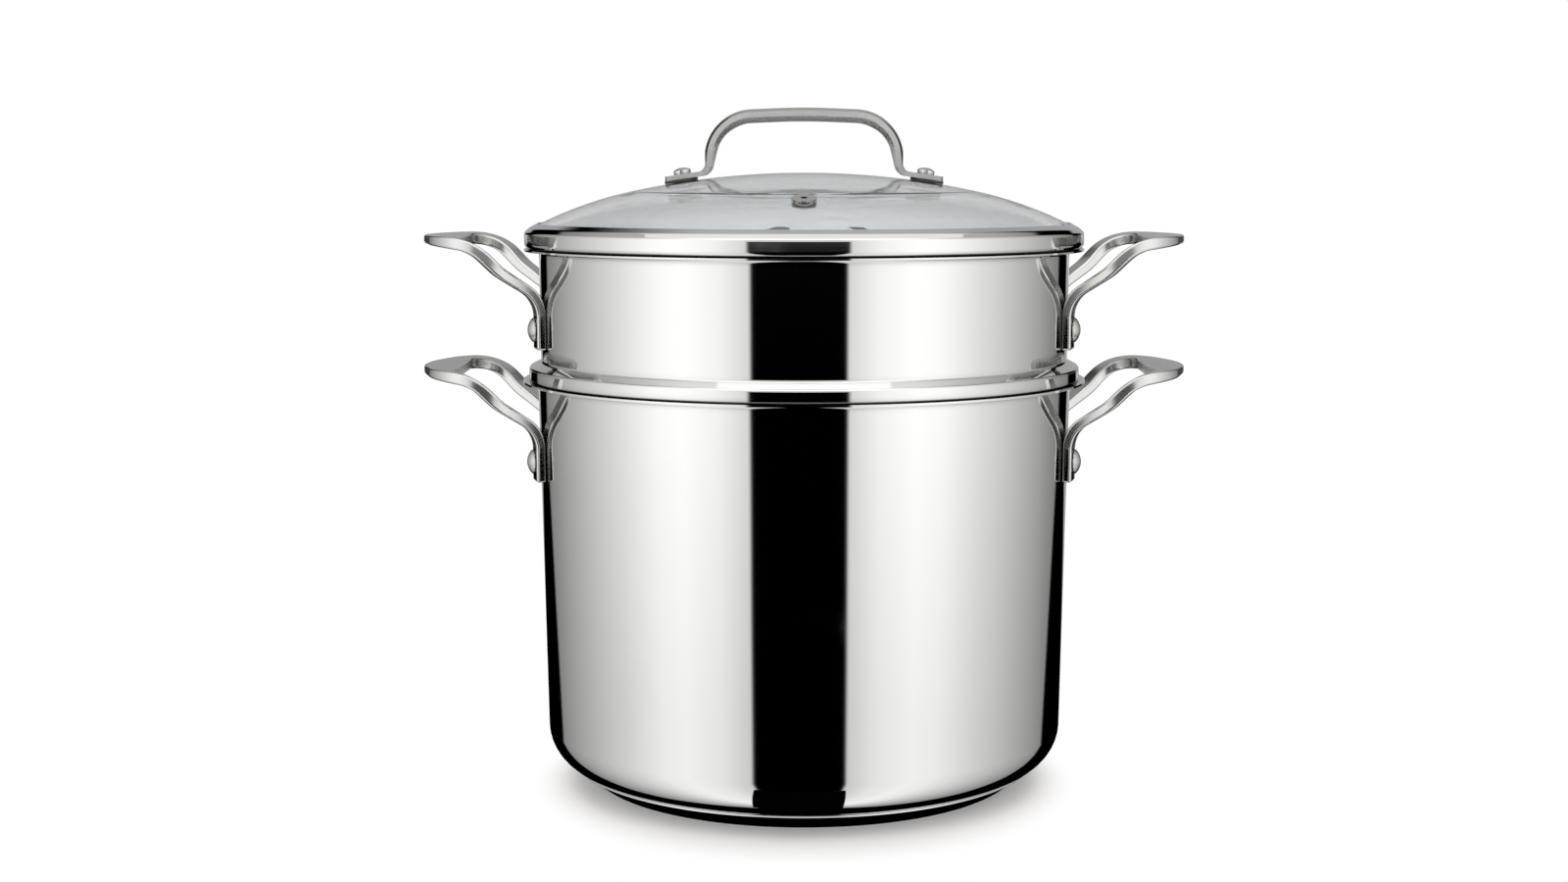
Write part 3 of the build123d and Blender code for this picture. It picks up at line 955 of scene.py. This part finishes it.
@dataclass
class StockPot:
    """The tall pot with its sandwich base, in millimetres."""

    handles: HandlePair = field(default_factory=lambda: HandlePair(Body.POT))
    sheet: float = 1.0
    wall_radius: float = 131.0
    rim_height: float = 199.4
    draft: float = 3.7
    corner: float = 20.0
    rim_reach: float = 7.2
    rim_bend: float = 1.8
    floor_height: float = 7.5
    seam: tuple[Point, ...] = ((113.8, 8.0), (115.55, 8.05), (115.35, 8.85), (113.8, 8.95))
    seam_round: float = 0.08

    def dress(self, shop: Workshop) -> None:
        """Dresses the pot, its base and its handles, and adds the bright bead on the base cap's edge.

        Args:
            shop: The materials.
        """
        shop.stand_in("pot_body", Body.POT, self._section(), shop.mirror)
        shop.dress("base_core", shop.core)
        shop.dress("base_cap", shop.base)
        ring = Section(list(self.seam), [self.seam_round] * len(self.seam), closed=True)
        shop.add_turned("base_seam_ring", Body.POT, ring.spans, shop.base)
        self.handles.dress(shop)

    def _section(self) -> list[Span]:
        """Draws the drawn shell's section, from the floor's middle up to the turned-out rim.

        Returns:
            Its spans.
        """
        low = self.wall_radius - self.draft * (self.rim_height - self.floor_height) / self.rim_height
        under_rim = self.rim_height - self.sheet
        corners = [(0.0, self.floor_height), (low, self.floor_height), (self.wall_radius, under_rim),
                   (self.wall_radius + self.rim_reach, under_rim)]
        return Section(corners, [self.corner, self.rim_bend]).thickened(self.sheet)


@dataclass
class SteamingInsert:
    """The insert that stands on the pot's rim and holds the food, in millimetres."""

    handles: HandlePair = field(default_factory=lambda: HandlePair(Body.INSERT))
    sheet: float = 0.8
    wall_radius: float = 129.9
    wall_height: float = 63.6
    draft: float = 0.6
    seat_height: float = 199.4
    rim_reach: float = 7.2
    rim_bend: float = 1.8
    bead_radius: float = 135.2
    bead_height: float = 6.3
    bead_shoulder: float = 2.9
    bead_seat_round: float = 1.0
    bead_round: float = 1.5
    hang_radius: float = 126.6
    hang_draft: float = 1.0
    hang_depth: float = 49.4
    ledge_width: float = 8.0
    ledge_corner: float = 3.0

    def dress(self, shop: Workshop) -> None:
        """Dresses the shell, its holed floor and its handles.

        Args:
            shop: The materials.
        """
        shop.stand_in("insert_shell", Body.INSERT, self._section(), shop.mirror)
        shop.dress("insert_floor", shop.satin)
        self.handles.dress(shop)

    def _section(self) -> list[Span]:
        """Draws the shell's section, from the ledge past the bead up to the turned-out rim.

        Returns:
            Its spans.
        """
        floor = self.seat_height - self.hang_depth
        low = self.hang_radius - self.hang_draft
        bead_top = self.seat_height + self.bead_height
        shoulder = bead_top + self.bead_shoulder
        rim = self.seat_height + self.wall_height
        shoulder_radius = self.wall_radius - self.draft * (rim - shoulder) / self.wall_height
        corners = [(low - self.ledge_width, floor), (low, floor), (self.hang_radius, self.seat_height),
                   (self.bead_radius, self.seat_height), (self.bead_radius, bead_top),
                   (shoulder_radius, shoulder), (self.wall_radius, rim - self.sheet),
                   (self.wall_radius + self.rim_reach, rim - self.sheet)]
        radii = [self.ledge_corner, self.bead_seat_round, self.bead_seat_round, self.bead_round,
                 self.bead_round, self.rim_bend]
        return Section(corners, radii).thickened(self.sheet)


@dataclass
class GlassLid:
    """The domed lid with its steel band, strap handle and vent, in millimetres."""

    rim_height: float = 263.0
    glass_radius: float = 134.0
    glass_edge_rise: float = 9.7
    glass_thickness: float = 4.0
    glass_fit: float = 0.1
    crown_radius: float = 400.0
    crown_reach: float = 85.0
    shoulder_radius: float = 190.0
    band_radius: float = 136.9
    band_sheet: float = 0.7
    band_lip: float = 6.3
    bevel_width: float = 2.5
    bevel_angle: float = math.radians(43.0)
    bevel_inner_share: float = 0.4
    bevel_round: float = 5.0
    band_top_round: float = 1.8
    band_bottom_round: float = 2.8
    skirt_radius: float = 128.4
    skirt_depth: float = 6.0

    def dress(self, shop: Workshop) -> None:
        """Dresses the dome and everything on it.

        Args:
            shop: The materials.
        """
        shop.dress("lid_glass", shop.glass)
        shop.stand_in("lid_band", Body.LID, self._band_section(), shop.mirror)
        for node in ("lid_handle", "lid_rivets", "vent_eyelet"):
            shop.dress(node, shop.handle)
        shop.dress("lid_washers", shop.satin)
        for node in ("handle_pads", "inner_pads"):
            shop.dress(node, shop.pad)

    def _shoulder_middle(self) -> float:
        """Tells how far from the axis the shoulder's arc has its centre."""
        return (self.crown_radius - self.shoulder_radius) * self.crown_reach / self.crown_radius

    def _glass_height(self, reach: float, depth: float = 0.0) -> float:
        """Works out the height of the glass's shoulder at a distance from the axis.

        Args:
            reach: The distance from the axis.
            depth: How deep under the outer face.

        Returns:
            The height.
        """
        middle = self._shoulder_middle()
        edge = math.sqrt(self.shoulder_radius ** 2 - (self.glass_radius - middle) ** 2)
        arc = math.sqrt((self.shoulder_radius - depth) ** 2 - (reach - middle) ** 2)
        return self.rim_height + self.glass_edge_rise - edge + arc

    def _band_section(self) -> list[Span]:
        """Draws the band's section, from the lip over the outside down to the skirt and back.

        Returns:
            Its spans.
        """
        slope = math.asin((self.glass_radius - self._shoulder_middle()) / self.shoulder_radius)
        rim, outside, skirt = self.rim_height, self.band_radius, self.skirt_radius
        sheet, top, bottom = self.band_sheet, self.band_top_round, self.band_bottom_round
        fit, lip = self.glass_fit / math.cos(slope), sheet / math.cos(slope)
        reach, inside, inner = outside - self.band_lip, outside - sheet, skirt - sheet
        lip_under = self._glass_height(reach) + fit
        bend, drop = outside - self.bevel_width, self.bevel_width * math.tan(self.bevel_angle)
        bend_top = self._glass_height(self.glass_radius) + fit + lip
        bend_top -= (bend - self.glass_radius) * math.tan(slope)
        shift = self.bevel_inner_share * sheet
        corners = [
            (reach, lip_under), (reach, lip_under + lip), (bend, bend_top), (outside, bend_top - drop),
            (outside, rim), (skirt, rim), (skirt, rim - self.skirt_depth), (inner, rim - self.skirt_depth),
            (inner, self._glass_height(inner, self.glass_thickness) - fit),
            (skirt, self._glass_height(skirt, self.glass_thickness) - fit), (skirt, rim + sheet),
            (inside, rim + sheet), (inside, bend_top - drop - shift), (bend - shift, bend_top - lip),
        ]
        radii = [0.0, 0.0, self.bevel_round, top, bottom, *[0.0] * 6, bottom - sheet, top - sheet, 0.0]
        return Section(corners[::-1], radii[::-1], closed=True).spans


@dataclass(frozen=True)
class Stop:
    """A point on the tent's brightness round the compass."""

    azimuth: float
    level: float


@dataclass
class LightTent:
    """The soft tent round the object: pale panels, a dark gap for the camera and dark side slits."""

    stops: tuple[Stop, ...] = (
        Stop(0.0, 0.0), Stop(19.6, 0.0), Stop(21.1, 0.85), Stop(34.0, 1.13), Stop(50.0, 1.27),
        Stop(62.0, 1.20), Stop(82.0, 0.90), Stop(108.0, 0.58), Stop(132.0, 0.33), Stop(143.0, 0.24),
        Stop(160.0, 0.38), Stop(180.0, 0.43),
    )
    compass: float = 2.1
    ceiling: float = 1.1
    back_ceiling: float = 0.5
    ceiling_from: float = 30.0
    ceiling_to: float = 55.0
    back_from: float = 60.0
    back_to: float = 120.0
    gap_top: float = -2.0
    gap_fade: float = 2.5
    gap_glow: float = 0.75
    gap_half: float = 21.1
    slit_start: float = 143.5
    slit_end: float = 159.5
    slit_soft: float = 1.5
    slit_lean: float = 1.3
    low_from: float = 8.0
    low_most: float = 8.0
    low_dim: float = 0.018
    matt_level: float = 1.08

    def build(self) -> None:
        """Makes the world: the tent for mirror rays, even light for matt ones, white for the camera."""
        world = bpy.data.worlds.new("light_tent")
        bpy.context.scene.world = world
        world.use_nodes = True
        graph = Graph(world.node_tree)
        x, y, z = graph.split(graph.add("ShaderNodeTexCoord").outputs["Generated"])
        turn = graph.math("ARCTAN2", x, graph.times(y, -1.0))
        turn = graph.math("ABSOLUTE", graph.math("ADD", turn, math.radians(self.compass)))
        rise = graph.math("DEGREES", graph.math("ARCSINE", z))
        tent = self._panels(graph, graph.math("DEGREES", turn), rise)
        diffuse = graph.add("ShaderNodeLightPath").outputs["Is Diffuse Ray"]
        lit = graph.blend(diffuse, tent, self.matt_level)
        terms = {"Color": WHITE, "Strength": graph.blend(graph.seen(), lit, 1.0)}
        background = graph.add("ShaderNodeBackground", terms)
        graph.add("ShaderNodeOutputWorld", {"Surface": background.outputs[0]})
        LOG.info("light tent with %d stops", len(self.stops))

    def _panels(self, graph: Graph, turn: Socket, rise: Socket) -> Socket:
        """Works out how bright the tent is in a direction.

        Args:
            graph: The world's graph.
            turn: The direction's angle from the camera's side, in degrees.
            rise: Its angle above the horizon, in degrees.

        Returns:
            The brightness.
        """
        ramp = graph.add("ShaderNodeValToRGB", {"Fac": graph.math("DIVIDE", turn, HALF_TURN)})
        self._fill(ramp.color_ramp)
        low = graph.math("SUBTRACT", graph.times(rise, -1.0), self.low_from)
        low = graph.math("MINIMUM", graph.math("MAXIMUM", low, 0.0), self.low_most)
        belt = graph.times(ramp.outputs["Color"], graph.scaled(low, -self.low_dim, 1.0))
        belt = graph.times(belt, graph.math("SUBTRACT", 1.0, self._slit(graph, turn, low)))
        up = graph.spread(rise, self.ceiling_from, self.ceiling_to)
        top = graph.spread(turn, self.back_from, self.back_to, self.ceiling, self.back_ceiling)
        belt = graph.blend(up, belt, top)
        over = graph.spread(rise, self.gap_top, self.gap_top + self.gap_fade)
        inside = graph.math("LESS_THAN", turn, self.gap_half)
        open_top = graph.times(graph.times(over, inside), self.gap_glow)
        return graph.math("MAXIMUM", belt, open_top)

    def _slit(self, graph: Graph, turn: Socket, low: Socket) -> Socket:
        """Works out where the dark side slits are, which widen towards the floor.

        Args:
            graph: The world's graph.
            turn: The direction's angle from the camera's side, in degrees.
            low: How far it dips under the first height, in degrees.

        Returns:
            A mask that is 1 in a slit.
        """
        start = graph.scaled(low, -self.slit_lean, self.slit_start)
        end = graph.scaled(low, 2.0 * self.slit_lean, self.slit_end)
        past = graph.spread(graph.math("SUBTRACT", turn, start), -self.slit_soft, self.slit_soft)
        before = graph.spread(graph.math("SUBTRACT", end, turn), -self.slit_soft, self.slit_soft)
        return graph.times(past, before)

    def _fill(self, ramp: bpy.types.ColorRamp) -> None:
        """Sets the ramp's stops.

        Args:
            ramp: The ramp to fill.
        """
        while len(ramp.elements) > 1:
            ramp.elements.remove(ramp.elements[-1])
        for number, stop in enumerate(self.stops):
            place = stop.azimuth / HALF_TURN
            element = ramp.elements[0] if number == 0 else ramp.elements.new(place)
            element.position = place
            element.color = (stop.level, stop.level, stop.level, 1.0)


@dataclass
class Floor:
    """The pale sheet that the pot stands on, which keeps only the shadow near the pot."""

    reach: float = 12.0
    colour: Colour = (0.93, 0.905, 0.885)
    shade_centre: Place = (0.0, -0.014, 0.0)
    shade_stretch: Place = (1.1, 1.0, 1.0)
    near: float = 0.118
    far: float = 0.15
    near_glow: float = 0.14

    def build(self) -> None:
        """Lays the floor."""
        mesh = bpy.data.meshes.new("floor")
        far = self.reach
        corners = [(-far, -far, 0.0), (far, -far, 0.0), (far, far, 0.0), (-far, far, 0.0)]
        mesh.from_pydata(corners, [], [(0, 1, 2, 3)])
        mesh.materials.append(self._material())
        floor = link("floor", mesh)
        floor.visible_glossy = False

    def _material(self) -> Material:
        """Makes the floor's matt white paper, which the camera sees fade to plain white.

        Returns:
            The material.
        """
        graph = MaterialGraph("floor_paper")
        paper = graph.add("ShaderNodeBsdfDiffuse", {"Color": (*self.colour, 1.0)})
        white = graph.add("ShaderNodeEmission")
        spot = graph.vector("MULTIPLY", graph.spot(), self.shade_stretch)
        reach = graph.vector("DISTANCE", spot, self.shade_centre)
        glow = graph.spread(reach, self.near, self.far, self.near_glow, 1.0)
        share = graph.times(graph.seen(), glow)
        terms = {0: share, 1: paper.outputs[0], 2: white.outputs[0]}
        return graph.close(graph.add("ShaderNodeMixShader", terms))


@dataclass
class FootShadeCard:
    """A black sheet of painted shade round the foot of the pot, with a tongue to the camera, which only its
    polish mirrors; it stands in for the shaded floor at the pot's foot.
    """

    outer: float = 0.121
    tongue: tuple[Point, ...] = ((0.0225, 0.119), (0.0335, 0.158))
    shift: float = -0.0032
    height: float = 0.0004
    steps: int = 96
    # painted shade: the sheet's near-black colour
    colour: Colour = (0.001, 0.001, 0.001)

    def build(self) -> None:
        """Lays the sheet of painted shade."""
        points = [(self.outer * math.cos(turn), self.outer * math.sin(turn), self.height)
                  for turn in full_turn(self.steps)]
        faces = [tuple(range(self.steps))]
        for half, reach in self.tongue:
            points += [(self.shift - half, -reach, self.height), (self.shift + half, -reach, self.height)]
        for number in range(self.steps, len(points) - 2, 2):
            faces.append((number, number + 2, number + 3, number + 1))
        mesh = bpy.data.meshes.new("foot_shade_card")
        mesh.from_pydata(points, [], faces)
        shade_card_paint = MaterialGraph("foot_shade_card_black")
        shader = shade_card_paint.add("ShaderNodeBsdfDiffuse", {"Color": (*self.colour, 1.0)})
        mesh.materials.append(shade_card_paint.close(shader))
        shade_card = link("foot_shade_card", mesh)
        # painted shade: hidden from the camera, from matt light, from glass and from shadows, so that only
        # mirror reflections show it
        shade_card.visible_camera = False
        shade_card.visible_diffuse = False
        shade_card.visible_transmission = False
        shade_card.visible_shadow = False


@dataclass
class Studio:
    """The tent, the floor, one soft overhead lamp and the camera."""

    tent: LightTent = field(default_factory=LightTent)
    floor: Floor = field(default_factory=Floor)
    # the black sheet of painted shade at the pot's foot
    shade_card: FootShadeCard = field(default_factory=FootShadeCard)
    camera_place: Place = (0.0, -1.104, 0.3011)
    camera_pitch: float = 83.08
    sensor: float = 36.0
    lens: float = 51.26
    shift: float = -0.0128
    clip: Point = (0.05, 60.0)
    lamp_place: Place = (0.0, -0.3, 2.2)
    lamp_size: float = 2.4
    lamp_power: float = 8.0

    def build(self) -> None:
        """Sets up the light, the floor and the camera."""
        self.tent.build()
        self.floor.build()
        self.shade_card.build()
        self._lamp()
        self._camera()
        bpy.context.scene.view_settings.view_transform = "Standard"

    def _lamp(self) -> None:
        """Hangs the overhead soft box."""
        light = bpy.data.lights.new("overhead_soft_box", "AREA")
        light.shape = "SQUARE"
        light.size = self.lamp_size
        light.energy = self.lamp_power
        link("overhead_soft_box", light).location = self.lamp_place
        LOG.info("overhead lamp at %s", self.lamp_place)

    def _camera(self) -> None:
        """Places the camera that matches the photograph."""
        data = bpy.data.cameras.new("camera")
        data.sensor_width = self.sensor
        data.lens = self.lens
        data.shift_x = self.shift
        data.clip_start, data.clip_end = self.clip
        camera = link("camera", data)
        camera.location = self.camera_place
        camera.rotation_euler = (math.radians(self.camera_pitch), 0.0, 0.0)
        bpy.context.scene.camera = camera
        LOG.info("camera at %s", self.camera_place)


def main() -> None:
    """Builds the whole scene in order."""
    logging.basicConfig(level=logging.INFO, format="%(name)s: %(message)s")
    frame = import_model()
    Studio().build()
    shop = Workshop(frame)
    for assembly in (StockPot(), SteamingInsert(), GlassLid()):
        assembly.dress(shop)
        LOG.info("%s done", type(assembly).__name__)


if __name__ == "__main__":
    main()
